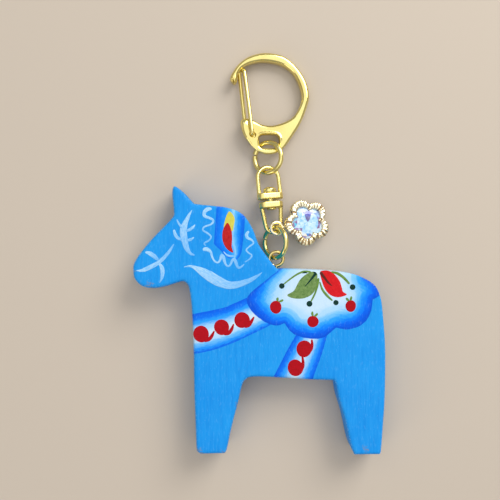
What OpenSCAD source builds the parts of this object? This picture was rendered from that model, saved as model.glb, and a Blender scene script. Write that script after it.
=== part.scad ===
// Flat painted wooden dala horse hung on a key-ring hook.
// It lies on its back face: +Z is the horse's painted front, +Y runs up the chain to the hook.
// The origin is under the middle of the whole charm, on the plane that it lies on.

/* [Horse] */
// Thickness of the wooden board that the horse is cut from
horse_thick = 10; // [9:0.5:12]
// Depth of the pilot hole for the screw eye
pilot_depth = 8.5; // [7:0.5:12]

/* [Screw eye] */
// Outer diameter of the eye
eye_od = 4.7; // [4.5:0.1:4.9]
// Wire diameter of the eye
eye_wire = 0.9; // [0.8:0.1:1]
// Outer diameter of the wood thread
thread_d = 1.5; // [1.4:0.1:1.8]
// Pitch of the wood thread
thread_pitch = 0.6; // [0.5:0.1:0.8]

/* [Jump rings] */
// Outer diameter of both jump rings
ring_od = 9.6; // [9.4:0.1:9.8]
// Wire diameter of both jump rings
ring_wire = 1.3; // [1.1:0.1:1.3]
// Width of the saw cut where a jump ring opens
ring_split = 0.2; // [0.1:0.05:0.3]

/* [Swivel] */
// Wire diameter of the two bails
bail_wire = 1.15; // [1.0:0.05:1.2]
// Depth of the bars that the rivet joins
bar_depth = 3.4; // [3:0.1:3.6]
// Gap between the two bars
bar_gap = 0.6; // [0.3:0.1:0.8]
// Diameter of the rivet's shank
rivet_d = 1.6; // [1.4:0.1:1.8]
// Diameter of the rivet's domed head
rivet_head_d = 3.5; // [3:0.1:3.8]
// Radial clearance between the rivet and the upper bail
rivet_play = 0.05; // [0.02:0.01:0.1]

/* [Charm] */
// Distance from the flower's middle to a petal's tip
flower_r = 6.4; // [6:0.1:6.6]
// Diameter of the stone
stone_d = 9.5; // [9.3:0.1:9.5]
// Number of petals
petals = 5; // [5:1:5]

/* [Hook] */
// Thickness of the hook's bow
hook_thick = 3.2; // [3:0.1:3.4]
// Wire diameter of the gate
gate_wire = 1.1; // [1:0.05:1.15]
// Radial clearance round the gate's front foot
gate_play = 0.05; // [0.02:0.01:0.1]

/* [Hidden] */
$fn = 48;

// Where the chain's pieces lie: a point, then turns about X, Y and Z
eye_at = [4.6, -2.6, horse_thick / 2];
lower_ring_at = [4.35, 1.85, 4.8];
lower_ring_tilt = 48;
swivel_at = [3.1, 13.25, 3.65];
swivel_pitch = -5;
swivel_heading = 6;
lower_bail_roll = 12;
upper_bail_roll = 18;
charm_at = [4.75, 5.7, 5.55];
charm_pitch = 17;
charm_heading = 11;
upper_ring_at = [2.4, 25.1, 2.85];
upper_ring_tilt = 31;
hook_at = [2.65, 26.9, 3];
hook_pitch = -2.2;
hook_roll = 3;

// Horse outline. Each run is drawn as a smooth curve through its points, and runs meet in corners.
ear_and_neck = [[-23, 16], [-22.6, 16.7], [-21.8, 16.4], [-20.3, 15.2], [-18, 12.7], [-16.8, 12],
                [-12, 11.5], [-8.8, 11.1], [-5.8, 10.1], [-3.7, 8.5], [-1.7, 5.2], [-0.2, 1.3],
                [1.9, -1.8], [4.3, -4.8], [5, -5.2]];
back_and_rump = [[5, -5.2], [8, -5.2], [16, -5.5], [21, -5.9], [25, -6.6], [28.6, -8.1],
                 [30.7, -9.7], [31.7, -11.5], [32.4, -14], [32.9, -19], [33.3, -24.5],
                 [33.4, -30], [33.2, -40], [32.7, -47.5], [32.2, -53.6], [31.6, -54.3]];
hind_leg = [[25.2, -54.4], [24, -51.5], [22.5, -44.7], [21, -39.7], [20.3, -36.2], [19.7, -34.7]];
belly = [[19.7, -34.7], [13.5, -34.5], [3.4, -33.9], [-1.7, -33.8], [-3.5, -34.4], [-4.6, -36],
         [-5.7, -40.7], [-6.8, -44.8], [-7.8, -49], [-8.7, -53.2], [-9.5, -54.2]];
front_leg = [[-15.6, -54.2], [-16.4, -53.6], [-16.7, -52.3], [-17, -44.7], [-17.3, -37],
             [-17.4, -29.5], [-17.6, -22], [-17.9, -16.5], [-18.1, -14], [-18.6, -10.5],
             [-19.3, -9], [-20.4, -8.5], [-22, -8.9], [-24.5, -9.7], [-27, -10.2], [-29.5, -10.2],
             [-31.5, -9.5], [-33, -7.9], [-33.4, -6.3], [-33.4, -4.4], [-32.7, -2.7],
             [-31, -0.3], [-28.5, 2.7], [-25.5, 5.8], [-23.4, 8], [-22.7, 9.2], [-22.8, 11.3],
             [-23.1, 14.4], [-23, 16]];

// Hook outline, from the eye end at its own origin, +Y towards the bow
hook_outer = [[-9.2, 18.1], [-10.1, 18.7], [-10.6, 19.8], [-9.8, 21.6], [-8, 24], [-5, 26],
              [-0.7, 26.9], [4.1, 26], [7.7, 23.1], [10.2, 19.2], [11.1, 15.2], [10.5, 12.2],
              [9, 8.3], [7.1, 5], [4.1, 0.9], [1.2, -0.75], [-2, -0.6], [-4.6, 1.2],
              [-6.8, 4.2], [-7.7, 7.2], [-7.6, 8.3], [-6.9, 8.8]];
hook_inner = [[-6.9, 8.8], [-5, 8.7], [-2, 7.2], [1.5, 7], [5.9, 8.7], [8.1, 11.4], [9, 15.3],
              [7.2, 20.5], [4, 23.4], [-0.7, 24.5], [-4.6, 24], [-7, 22.8], [-8.3, 21],
              [-8.6, 19.4], [-9.2, 18.1]];
// Half the hook's thickness along Y: thin at the bar, full at the bow
hook_side = [[-2, 0.65], [1.6, 0.7], [3.4, 1.1], [9.5, 1.1], [13.5, hook_thick / 2],
             [28, hook_thick / 2]];
slot_w = 5.4;
slot_low = 0.7;
slot_high = 4.3;
slot_corner = 1.1;

// How far a straight length of wire runs into a bend, and how much thinner it is there
sunk_in = 0.2;
sunk = 0.03;

// Gate: where its feet enter the hook and where its bend lies, in the hook's own frame
front_foot = [-4.6, 4.45, 2];
back_foot = [-6.2, 6, -2];
foot_deep = 0.7;
bend_at = [-7.3, 21.2, 0];
bend_r = 1.1;
gate_lean = 7;
gate_roll = 53;
gate_swing = 26;
nose_room = 0.15;

// Swivel
bar_len = 1.8;
lower_bend_r = 2.1;
lower_reach = 7.6;
lower_taper = 6.5;
upper_bend_r = 3;
upper_reach = 8.05;
upper_taper = 1;
rivet_head_h = 1.7;
rivet_tail_h = 0.4;

// Charm layers, up from the plane of its loop
flower_x = 8.5;
loop_r = 1.65;
loop_wire = 0.86;
base_low = -0.55;
base_high = 0.4;
seat_high = 0.75;
rim_high = 2.05;
lip_low = 1.5;
girdle_high = 1.1;
table_high = 1.75;
flute_count = 20;

// Points of a smooth curve through a run of points, with three steps to each stretch
function on_curve(a, b, c, d, t) =
    0.5 * (2 * b + (c - a) * t + (2 * a - 5 * b + 4 * c - d) * t * t
           + (3 * b - a - 3 * c + d) * t * t * t);
function smooth(p, steps = 3) = [
    for (i = [0 : len(p) - 2], k = [0 : steps - 1])
        on_curve(p[max(i - 1, 0)], p[i], p[i + 1], p[min(i + 2, len(p) - 1)], k / steps)
];
horse_outline = concat(smooth(ear_and_neck), smooth(back_and_rump), smooth(hind_leg),
                       smooth(belly), smooth(front_leg));
hook_outline = concat(smooth(hook_outer), smooth(hook_inner));

// A straight round bar from one point to just past another, sunk a little below the wire's skin
module rod(a, b, r) {
    way = b - a;
    long = norm(way);
    translate(a) rotate([0, acos(way[2] / long), atan2(way[1], way[0])])
        cylinder(h = long + sunk_in, r = r - sunk);
}

// Part of a round ring in the XY plane, from +X towards +Y
module hoop(r, wire, turn = 360) {
    rotate_extrude(angle = turn) translate([r, 0]) circle(d = wire);
}

module horse_body() {
    color("DodgerBlue") difference() {
        linear_extrude(horse_thick) polygon(horse_outline);
        translate([eye_at[0], -pilot_depth - 4.9, eye_at[2]]) rotate([-90, 0, 0])
            cylinder(h = pilot_depth + 2, d = thread_d - 0.3);
    }
}

// The eye lies level, and its shank runs down into the wood along -Y
module screw_eye() {
    turns = floor((pilot_depth - 2) / thread_pitch);
    core = thread_d / 2 - 0.25;
    top = (eye_od - eye_wire) / 2;
    color("Gold") translate(eye_at) {
        hoop(top, eye_wire);
        rotate([90, 0, 0]) translate([0, 0, top]) rotate_extrude() polygon(concat(
            [[0, 0], [core, 0], [core, 1.2]],
            [for (i = [0 : turns - 1], k = [0, 1])
                [k == 0 ? core : thread_d / 2, 1.2 + (i + k / 2) * thread_pitch]],
            [[core, 1.2 + turns * thread_pitch], [0, 2.2 + turns * thread_pitch]]));
    }
}

// A jump ring in the XY plane, with its saw cut on the -X side
module jump_ring() {
    difference() {
        hoop((ring_od - ring_wire) / 2, ring_wire);
        translate([-ring_od / 2, 0.9, 0]) cube([2 * ring_wire + 1, ring_split, 2 * ring_wire], true);
    }
}

module lower_jump_ring() {
    color("Gold") translate(lower_ring_at) rotate([0, -lower_ring_tilt, 0]) jump_ring();
}

module upper_jump_ring() {
    color("Gold") translate(upper_ring_at) rotate([0, -upper_ring_tilt, 0]) jump_ring();
}

// A U of wire: its bar is at the origin and its bend is along +Y
module bail(bend_r, reach, taper, hole_r) {
    centre = reach - bend_r;
    touch = [bend_r * cos(taper), centre + bend_r * sin(taper), 0];
    foot_x = (bend_r + centre * sin(taper)) / cos(taper);
    end_r = bar_depth / 2;
    end_x = foot_x + bail_wire / 2 - end_r;
    difference() {
        union() {
            translate([0, centre, 0]) rotate(taper) hoop(bend_r, bail_wire, 180 - 2 * taper);
            for (side = [-1, 1])
                rod([side * foot_x, 0, 0], [side * touch[0], touch[1], 0], bail_wire / 2);
            rotate([90, 0, 0]) linear_extrude(bar_len, center = true) {
                square([2 * end_x, bar_depth], center = true);
                for (side = [-1, 1]) translate([side * end_x, 0]) circle(end_r);
            }
        }
        rotate([90, 0, 0]) cylinder(h = bar_len + 1, r = hole_r, center = true);
    }
}

// The swivel's own frame: its axis is along Y and its middle is between the two bars
module swivel_place() {
    translate(swivel_at) rotate([0, 0, swivel_heading]) rotate([swivel_pitch, 0, 0]) children();
}

module lower_bail() {
    color("Gold") swivel_place() rotate([0, lower_bail_roll, 0])
        translate([0, -(bar_gap + bar_len) / 2, 0]) mirror([0, 1, 0])
        bail(lower_bend_r, lower_reach, lower_taper, rivet_d / 2);
}

module upper_bail() {
    color("Gold") swivel_place() rotate([0, upper_bail_roll, 0])
        translate([0, (bar_gap + bar_len) / 2, 0])
        bail(upper_bend_r, upper_reach, upper_taper, rivet_d / 2 + rivet_play);
}

// Domed head inside the upper bail, shank through both bars, tail spread inside the lower bail
module swivel_rivet() {
    low = -(bar_gap / 2 + bar_len);
    high = bar_gap / 2 + bar_len + rivet_play;
    dome_r = (pow(rivet_head_d / 2, 2) + pow(rivet_head_h, 2)) / (2 * rivet_head_h);
    color("Gold") swivel_place() rotate([-90, 0, 0]) {
        translate([0, 0, low]) cylinder(h = high - low, d = rivet_d);
        translate([0, 0, low - rivet_tail_h]) cylinder(h = rivet_tail_h, d = rivet_d + 0.8);
        intersection() {
            translate([0, 0, high]) cylinder(h = rivet_head_h, d = rivet_head_d);
            translate([0, 0, high + rivet_head_h - dome_r]) sphere(dome_r);
        }
    }
}

// The charm's own frame: its loop is at the origin and its flower is along +X
module charm_place() {
    translate(charm_at) rotate([0, 0, charm_heading]) rotate([0, charm_pitch, 0]) children();
}

// A flower of round petals, one of them towards the loop
module flower(reach, petal_r, waist) {
    circle(waist);
    for (i = [0 : petals - 1])
        rotate(180 + i * 360 / petals) translate([reach - petal_r, 0]) circle(petal_r);
}

module charm_base() {
    color("PaleGoldenrod") charm_place() {
        hoop(loop_r, loop_wire);
        translate([loop_r, 0, 0]) rotate([0, 90, 0]) cylinder(h = 1.2, d = 0.7);
        difference() {
            translate([flower_x, 0, base_low]) {
                linear_extrude(base_high - base_low) flower(flower_r - 0.1, 2.8, 5.3);
                cylinder(h = seat_high - base_low, r = stone_d / 2 + 0.25);
            }
            translate([flower_x, 0, base_low + 0.6]) cylinder(h = 4, r = 4);
        }
    }
}

module charm_rim() {
    color("PaleGoldenrod") charm_place() translate([flower_x, 0, 0]) difference() {
        translate([0, 0, seat_high]) linear_extrude(rim_high - seat_high)
            flower(flower_r, 2.9, 5.5);
        translate([0, 0, seat_high - 1]) cylinder(h = lip_low - seat_high + 1, r = stone_d / 2 + 0.05);
        translate([0, 0, seat_high - 1]) linear_extrude(4) flower(4.5, 1.75, 3.6);
        for (i = [0 : flute_count - 1])
            rotate((i + 0.5) * 360 / flute_count) translate([5.3, 0, rim_high + 0.1])
                rotate([0, 90, 0]) cylinder(h = 3, r = 0.35, $fn = 24);
    }
}

module charm_stone() {
    girdle_r = stone_d / 2;
    color("LightCyan") charm_place() translate([flower_x, 0, 0]) rotate_extrude() polygon([
        [0, 0.15], [0.8, 0.15], [3.9, seat_high], [girdle_r, seat_high],
        [girdle_r, girdle_high], [2.7, table_high], [0, table_high]]);
}

// The hook's own frame: the middle of its eye's bar, with +Y towards the bow
module hook_place() {
    translate(hook_at) rotate([hook_pitch, hook_roll, 0]) children();
}

module hook_slot() {
    for (side = [-1, 1], y = [slot_low + slot_corner, slot_high - slot_corner])
        translate([side * (slot_w / 2 - slot_corner), y]) circle(slot_corner);
    translate([-slot_w / 2, slot_low + slot_corner])
        square([slot_w, slot_high - slot_low - 2 * slot_corner]);
    translate([slot_corner - slot_w / 2, slot_low])
        square([slot_w - 2 * slot_corner, slot_high - slot_low]);
}

module hook_body() {
    sides = concat(hook_side, [for (i = [len(hook_side) - 1 : -1 : 0])
        [hook_side[i][0], -hook_side[i][1]]]);
    color("Gold") hook_place() difference() {
        intersection() {
            linear_extrude(hook_thick + 1, center = true) difference() {
                polygon(hook_outline);
                hook_slot();
            }
            rotate([90, 0, 90]) linear_extrude(40, center = true) polygon(sides);
        }
        translate([front_foot[0], front_foot[1], front_foot[2] - foot_deep - 0.9])
            cylinder(h = 3, d = gate_wire + 2 * gate_play);
        back_foot_room();
        gate_room();
    }
}

// A short curved pocket, round the front foot's axis, that the back foot travels in
module back_foot_room() {
    arm = [back_foot[0] - front_foot[0], back_foot[1] - front_foot[1]];
    reach = norm(arm);
    from = atan2(arm[1], arm[0]);
    pocket = gate_wire + 0.3;
    translate([front_foot[0], front_foot[1], back_foot[2] - 1]) {
        rotate(from - gate_swing) rotate_extrude(angle = gate_swing)
            translate([reach - pocket / 2, 0]) square([pocket, foot_deep + 1.75]);
        for (a = [from - gate_swing, from]) rotate(a) translate([reach, 0, 0])
            cylinder(h = foot_deep + 1.75, d = pocket);
    }
}

// The hollow on the inner side of the nose that the gate's bend closes into
module gate_room() {
    translate(bend_at) rotate([0, 0, gate_lean]) rotate([0, -gate_roll, 0])
        hoop(bend_r, gate_wire + 2 * nose_room);
}

module hook_gate() {
    r = gate_wire / 2;
    color("Gold") hook_place() {
        side = [cos(gate_lean) * cos(gate_roll), sin(gate_lean) * cos(gate_roll), sin(gate_roll)];
        rod(front_foot, bend_at + bend_r * side, r);
        rod(back_foot, bend_at - bend_r * side, r);
        for (foot = [front_foot, back_foot]) translate(foot) sphere(r + sunk);
        translate(bend_at) rotate([0, 0, gate_lean]) rotate([0, -gate_roll, 0])
            hoop(bend_r, gate_wire, 180);
        translate(front_foot - [0, 0, foot_deep + 0.6]) cylinder(h = foot_deep + 0.6, r = r);
        translate(back_foot) cylinder(h = foot_deep + 0.6, r = r);
    }
}

horse_body();
screw_eye();
lower_jump_ring();
charm_base();
charm_rim();
charm_stone();
lower_bail();
swivel_rivet();
upper_bail();
upper_jump_ring();
hook_body();
hook_gate();
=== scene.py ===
"""Looks of the dala horse bag charm: painted wood, gold chain, flower charm and spring hook."""
import math
import random

import bpy
import numpy as np
from mathutils import Matrix, Vector
from mathutils.geometry import delaunay_2d_cdt


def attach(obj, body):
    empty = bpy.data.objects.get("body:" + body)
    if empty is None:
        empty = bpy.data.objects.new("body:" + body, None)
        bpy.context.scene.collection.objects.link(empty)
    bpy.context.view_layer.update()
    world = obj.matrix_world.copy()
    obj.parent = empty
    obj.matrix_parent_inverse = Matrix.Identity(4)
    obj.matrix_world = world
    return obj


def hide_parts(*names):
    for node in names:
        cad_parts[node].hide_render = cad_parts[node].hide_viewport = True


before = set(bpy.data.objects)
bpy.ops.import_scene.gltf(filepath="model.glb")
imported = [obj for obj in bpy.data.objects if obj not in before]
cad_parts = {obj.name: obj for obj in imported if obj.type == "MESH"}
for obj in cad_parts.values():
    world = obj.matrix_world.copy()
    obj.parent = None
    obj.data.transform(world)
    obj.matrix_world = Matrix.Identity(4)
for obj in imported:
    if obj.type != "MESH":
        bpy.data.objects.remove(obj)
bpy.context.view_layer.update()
MM = 0.001
THICK = 10.0


# ---- places, as in the CAD model

def turn(axis, degrees):
    return Matrix.Rotation(math.radians(degrees), 4, axis)


def move(x, y, z):
    return Matrix.Translation((x, y, z))


EYE = move(4.6, -2.6, THICK / 2)
LOWER_RING = move(4.35, 1.85, 4.8) @ turn("Y", -48)
UPPER_RING = move(2.4, 25.1, 2.85) @ turn("Y", -31)
SWIVEL = move(3.1, 13.25, 3.65) @ turn("Z", 6) @ turn("X", -5)
LOWER_BAIL = SWIVEL @ turn("Y", 12) @ move(0, -1.2, 0) @ Matrix.Diagonal((1, -1, 1, 1))
UPPER_BAIL = SWIVEL @ turn("Y", 18) @ move(0, 1.2, 0)
CHARM = move(4.75, 5.7, 5.55) @ turn("Z", 11) @ turn("Y", 17)
FLOWER = CHARM @ move(8.5, 0, 0)
HOOK = move(2.65, 26.9, 3) @ turn("Y", 3) @ turn("X", -2.2)


# ---- curves and flat outlines, in mm

def on_curve(a, b, c, d, t):
    return 0.5 * (2 * b + (c - a) * t + (2 * a - 5 * b + 4 * c - d) * t ** 2
                  + (3 * b - a - 3 * c + d) * t ** 3)


def smooth(points, steps=6):
    """A smooth curve through a run of points, ends kept."""
    p = np.array(points, float)
    last = len(p) - 1
    out = []
    for i in range(last):
        for k in range(steps):
            a, d = p[max(i - 1, 0)], p[min(i + 2, last)]
            out.append(on_curve(a, p[i], p[i + 1], d, k / steps))
    return np.array(out + [p[last]])


def smooth_loop(points, steps=6):
    p = np.array(points, float)
    n = len(p)
    return np.array([on_curve(p[i - 1], p[i], p[(i + 1) % n], p[(i + 2) % n], k / steps)
                     for i in range(n) for k in range(steps)])


def runs(*parts):
    """Several smooth runs end to end, meeting in corners."""
    pieces = [smooth(part) for part in parts]
    return np.vstack([p[:-1] for p in pieces] + [pieces[-1][-1:]])


def split_evenly(loop, gap):
    """Adds points to a closed loop so that no two are further apart than gap."""
    out = []
    for a, b in zip(loop, np.roll(loop, -1, axis=0)):
        count = max(1, math.ceil(np.linalg.norm(b - a) / gap))
        out += [a + (b - a) * k / count for k in range(count)]
    return np.array(out)


def nearest(points, chain, closed=False):
    """For each point, how far the chain is, and how far along the chain the nearest place is."""
    ends = np.vstack([chain, chain[:1]]) if closed else chain
    best = np.full(len(points), 1e9)
    along = np.zeros(len(points))
    start = 0.0
    for a, b in zip(ends[:-1], ends[1:]):
        way = b - a
        long = float(np.linalg.norm(way))
        if long < 1e-9:
            continue
        t = np.clip((points - a) @ way / long ** 2, 0, 1)
        d = np.linalg.norm(points - a - t[:, None] * way, axis=1)
        closer = d < best
        best[closer] = d[closer]
        along[closer] = start + t[closer] * long
        start += long
    return best, along


def inside(points, loop):
    """True for each point that lies within a closed loop."""
    x, y = points[:, 0], points[:, 1]
    result = np.zeros(len(points), bool)
    for a, b in zip(loop, np.roll(loop, -1, axis=0)):
        spans = (a[1] > y) != (b[1] > y)
        if a[1] != b[1]:
            cross = a[0] + (y - a[1]) * (b[0] - a[0]) / (b[1] - a[1])
            result ^= spans & (x < cross)
    return result


def angles(count):
    return np.linspace(0, 2 * math.pi, count, endpoint=False)


def circle(x, y, r, count):
    return np.array([(x + r * math.cos(a), y + r * math.sin(a)) for a in angles(count)])


def dot(x, y, r, wobble):
    """A hand-laid round dab: nearly a circle, a little taller than wide."""
    out = []
    for a in angles(32):
        q = r * (1 + wobble * math.sin(2 * a + x) + wobble / 2 * math.cos(3 * a + y))
        out.append((x + q * math.cos(a), y + 1.06 * q * math.sin(a)))
    return np.array(out)


def edge_drop(d, wide, deep):
    """How far a surface with a rounded edge has dropped at a distance d from that edge."""
    t = np.clip(1 - d / wide, 0, 1)
    return deep * (1 - np.sqrt(1 - t * t))


def face(height, wide=1.0, deep=0.0):
    """A level face that drops at its edges, or rises there if deep is below nothing."""
    return lambda x, y, d: height - edge_drop(d, wide, deep)


# ---- meshes

# rows of points that follow a rim, as shares of its soft edge
EDGE_ROWS = (0.04, 0.14, 0.3, 0.52, 0.78)
# distance between the rows of an even grid of triangles, as a share of their side
GRID_ROW = 0.87
# distance along and between the rings of points in a fine place
FINE_GAP = 0.09
FINE_ROW = 0.08


def inner_points(loops, reach, wide, gap, fine):
    """Places inside an outline: rows that follow its rims, an even grid, and rings in fine places."""
    extra = []
    for loop in loops:
        way = np.roll(loop, -1, axis=0) - np.roll(loop, 1, axis=0)
        side = np.stack([-way[:, 1], way[:, 0]], 1)
        side /= np.linalg.norm(side, axis=1)[:, None] + 1e-12
        for share in EDGE_ROWS:
            for sign in (-1, 1):
                ring = loop + sign * side * wide * share
                d, kept = reach(ring)
                extra.append(ring[kept & (d > wide * share * 0.94)])
    rims = np.vstack(loops)
    least, most = rims.min(0), rims.max(0)
    ys = np.arange(least[1], most[1], gap * GRID_ROW)
    grid = np.array([(x + (row % 2) * gap / 2, y) for row, y in enumerate(ys)
                     for x in np.arange(least[0], most[0], gap)])
    for x, y, r in fine:
        grid = grid[np.hypot(grid[:, 0] - x, grid[:, 1] - y) > r + gap * 0.3]
        extra = [e[np.hypot(e[:, 0] - x, e[:, 1] - y) > r + 0.03] for e in extra]
    d, kept = reach(grid)
    extra.append(grid[kept & (d > wide + gap * 0.4)])
    for x, y, r in fine:
        rings = np.vstack([circle(x, y, q, max(8, round(6.3 * q / FINE_GAP)))
                           for q in np.arange(0.05, r, FINE_ROW)])
        d, kept = reach(rings)
        extra.append(rings[kept & (d > 0.04)])
    return extra


def border_of(sides):
    """The sides that only one face has, which make up the border of a patch of faces."""
    known = set(sides)
    return [(i, j) for i, j in sides if (j, i) not in known]


def filled(points, edges, reach):
    """Triangles between the points, all facing up, without those outside or flat against a rim."""
    found = delaunay_2d_cdt([Vector(p) for p in points], edges, [], 0, 1e-6, False)
    xy = np.array([(v[0], v[1]) for v in found[0]])
    tris = np.array([tuple(f) for f in found[2]])
    tris = tris[reach(xy[tris].mean(axis=1))[1]]
    a, b, c = xy[tris[:, 0]], xy[tris[:, 1]], xy[tris[:, 2]]
    area = (b[:, 0] - a[:, 0]) * (c[:, 1] - a[:, 1]) - (b[:, 1] - a[:, 1]) * (c[:, 0] - a[:, 0])
    tris[area < 0] = tris[area < 0][:, ::-1]
    on_rim = reach(xy)[0] < 1e-5
    sliver = (np.abs(area) < 1e-4) & on_rim[tris].all(axis=1)
    tris = tris[~sliver]
    used = np.unique(tris)
    renumber = np.full(len(xy), -1)
    renumber[used] = np.arange(len(used))
    return xy[used], renumber[tris]


def slab(loops, top, bottom, wide, gap, rows, fine=()):
    """A closed shape over a flat outline (the first loop) with holes (the other loops).
    top and bottom give its height from flat places and their distances to the nearest edge;
    wide is the width of its soft edge, gap the distance between its points, and rows the number
    of faces down its wall; fine lists places (x, y, radius) that need closer points."""
    loops = [split_evenly(np.array(loop, float), gap) for loop in loops]
    edges = []
    first = 0
    for loop in loops:
        edges += [(first + i, first + (i + 1) % len(loop)) for i in range(len(loop))]
        first += len(loop)

    def reach(points):
        found = [nearest(points, loop, True)[0] for loop in loops]
        kept = inside(points, loops[0])
        for hole in loops[1:]:
            kept &= ~inside(points, hole)
        return np.min(found, axis=0), kept

    points = np.vstack(loops + inner_points(loops, reach, wide, gap, fine))
    xy, tris = filled(points, edges, reach)
    d = reach(xy)[0]
    sides = [(int(t[k]), int(t[k - 2])) for t in tris for k in range(3)]
    border = border_of(sides)
    on_edge = {i for pair in border for i in pair}
    d[list(on_edge)] = 0
    high, low = top(xy[:, 0], xy[:, 1], d), bottom(xy[:, 0], xy[:, 1], d)
    n = len(xy)
    verts = [np.column_stack([xy, high]), np.column_stack([xy, low])]
    faces = [tuple(int(v) for v in t) for t in tris]
    faces += [tuple(int(v) + n for v in t[::-1]) for t in tris]
    column = {}
    count = 2 * n
    for i in sorted(on_edge):
        column[i] = [i] + list(range(count, count + rows - 1)) + [i + n]
        steps = [high[i] + (low[i] - high[i]) * k / rows for k in range(1, rows)]
        verts.append(np.array([(xy[i][0], xy[i][1], z) for z in steps]).reshape(-1, 3))
        count += rows - 1
    for i, j in border:
        for k in range(rows):
            faces.append((column[j][k], column[i][k], column[i][k + 1], column[j][k + 1]))
    return np.vstack(verts), faces


def skin(rows, sides, closed=False):
    """The faces round a bar of rows of points, capped at both ends unless the bar is a ring."""
    faces = []
    for i in range(rows if closed else rows - 1):
        j = (i + 1) % rows
        for k in range(sides):
            m = (k + 1) % sides
            faces.append((i * sides + k, i * sides + m, j * sides + m, j * sides + k))
    if not closed:
        faces.append(tuple(range(sides))[::-1])
        faces.append(tuple((rows - 1) * sides + k for k in range(sides)))
    return faces


def tube(path, radius, sides, closed=False):
    """A round bar swept along a path; radius is one number or one for each point."""
    p = np.array(path, float)
    n = len(p)
    if closed:
        way = np.roll(p, -1, axis=0) - np.roll(p, 1, axis=0)
    else:
        way = np.gradient(p, axis=0)
    way /= np.linalg.norm(way, axis=1)[:, None]
    across = np.cross(way[0], (0.12, 0.31, 0.94))
    across /= np.linalg.norm(across)
    size = np.full(n, radius) if np.isscalar(radius) else np.array(radius)
    verts = []
    for i in range(n):
        across = across - way[i] * np.dot(across, way[i])
        across /= np.linalg.norm(across)
        up = np.cross(way[i], across)
        verts += [p[i] + size[i] * (across * math.cos(a) + up * math.sin(a)) for a in angles(sides)]
    return np.array(verts), skin(n, sides, closed)


def capped(path, radius, bevel):
    """A path and its radii with softened square ends."""
    p = np.array(path, float)
    first = (p[1] - p[0]) / np.linalg.norm(p[1] - p[0])
    last = (p[-1] - p[-2]) / np.linalg.norm(p[-1] - p[-2])
    extra = [(0, bevel), (0.3 * bevel, 0.3 * bevel), (bevel, 0)]
    start = [p[0] + first * a for a, b in extra]
    end = [p[-1] - last * a for a, b in extra][::-1]
    body = [q for q in p[1:-1] if np.linalg.norm(q - p[0]) > 1.5 * bevel
            and np.linalg.norm(q - p[-1]) > 1.5 * bevel]
    radii = ([radius - b for a, b in extra] + [radius] * len(body)
             + [radius - b for a, b in extra][::-1])
    return np.array(start + body + end), radii


def lathe(profile, sides=48):
    """A shape turned about its own Z axis from (radius, height) pairs, from bottom to top."""
    verts = [(x, y, z) for r, z in profile for x, y in circle(0, 0, r, sides)]
    return np.array(verts), skin(len(profile), sides)


def joined(*shapes):
    """Several shapes as one, left as they lie."""
    verts, faces, start = [], [], 0
    for v, f in shapes:
        verts.append(np.array(v))
        faces += [tuple(i + start for i in face) for face in f]
        start += len(v)
    return np.vstack(verts), faces


def placed(shape, where):
    """Moves a shape by a matrix, and turns its faces round if the matrix mirrors it."""
    verts, faces = shape
    m = np.array(where)
    moved = np.array(verts) @ m[:3, :3].T + m[:3, 3]
    if where.to_3x3().determinant() < 0:
        faces = [f[::-1] for f in faces]
    return moved, faces


def both_sides(shape):
    """A painted shape on the front face and its mirror image on the back face."""
    return joined(shape, placed(shape, move(0, 0, THICK) @ Matrix.Diagonal((1, 1, -1, 1))))


def note(mesh, name, numbers):
    """Keeps one number for each point of a mesh, for its material to read."""
    layer = mesh.attributes.new(name, "FLOAT", "POINT")
    layer.data.foreach_set("value", np.array(numbers, np.float32))


def piece(name, shape, body, material, nodes=(), flat=False, values=None):
    """Makes a Blender object of a shape in mm and sets it riding on a body."""
    verts, faces = shape
    mesh = bpy.data.meshes.new(name)
    mesh.from_pydata((np.array(verts) * MM).tolist(), [], faces)
    mesh.update()
    for poly in mesh.polygons:
        poly.use_smooth = not flat
    for key, numbers in (values or {}).items():
        note(mesh, key, numbers)
    obj = bpy.data.objects.new(name, mesh)
    bpy.context.scene.collection.objects.link(obj)
    mesh.materials.append(material)
    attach(obj, body)
    for node in nodes:
        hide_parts(node)
    return obj


def melt(obj, voxel):
    """Fuses overlapping parts of one piece into a single skin with soft inner corners."""
    bpy.context.view_layer.objects.active = obj
    remesh = obj.modifiers.new("fuse", "REMESH")
    remesh.mode = "VOXEL"
    remesh.voxel_size = voxel * MM
    remesh.use_smooth_shade = True
    relax = obj.modifiers.new("relax", "SMOOTH")
    relax.factor = 0.5
    relax.iterations = 6
    graph = bpy.context.evaluated_depsgraph_get()
    mesh = bpy.data.meshes.new_from_object(obj.evaluated_get(graph))
    old = obj.data
    obj.modifiers.clear()
    mesh.materials.clear()
    mesh.materials.append(old.materials[0])
    obj.data = mesh
    for poly in mesh.polygons:
        poly.use_smooth = True
    bpy.data.meshes.remove(old)


# ---- materials

def colour(text):
    """A screen colour such as 2B9BEA as the linear numbers that Blender uses."""
    parts = [int(text[i:i + 2], 16) / 255 for i in (0, 2, 4)]
    linear = [p / 12.92 if p <= 0.04045 else ((p + 0.055) / 1.055) ** 2.4 for p in parts]
    return tuple(linear) + (1.0,)


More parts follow.
